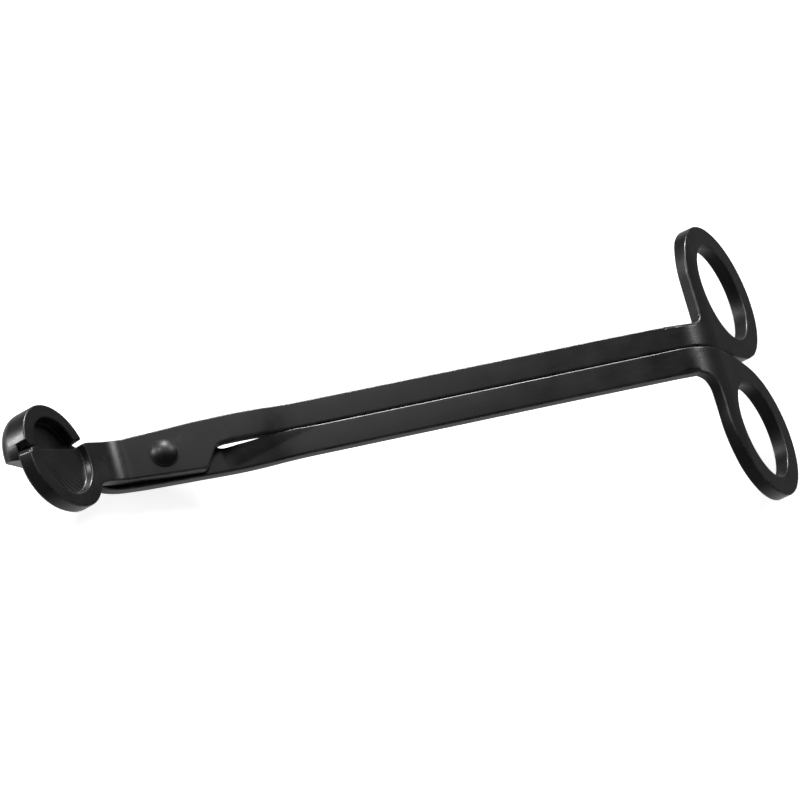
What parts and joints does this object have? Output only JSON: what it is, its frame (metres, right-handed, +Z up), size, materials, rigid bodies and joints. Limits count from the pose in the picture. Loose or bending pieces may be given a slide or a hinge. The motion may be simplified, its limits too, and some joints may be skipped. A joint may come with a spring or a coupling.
{
  "type": "wick trimmer",
  "caption": "Scissor-type candle wick trimmer: crossing levers with angled finger loops and a bent head carrying two half-round catch trays.",
  "frame": {"origin": "centre of the bounding box at its base, where the loops and the back of the head bend rest on a table", "axes": "+X from the jaws towards the finger loops, +Y towards the front lever's finger loop, +Z up, out of the front faces"},
  "size_m": [0.178, 0.064, 0.0243],
  "materials": {
    "front_lever_coating": "satin black coating over steel",
    "back_lever_coating": "satin black coating over steel",
    "rivet_coating": "semi-gloss black coating over steel"
  },
  "bodies": {
    "front": {"Front_Lever": "front_lever_coating", "Pivot_Rivet": "rivet_coating"},
    "back": {"Back_Lever": "back_lever_coating"}
  },
  "joints": [
    {"name": "pivot", "type": "hinge", "parent": "front", "child": "back", "pos_m": [-0.05079, 0, 0.00454], "axis": [0.1607, 0, -0.987], "range_deg": [0, 30]}
  ]
}
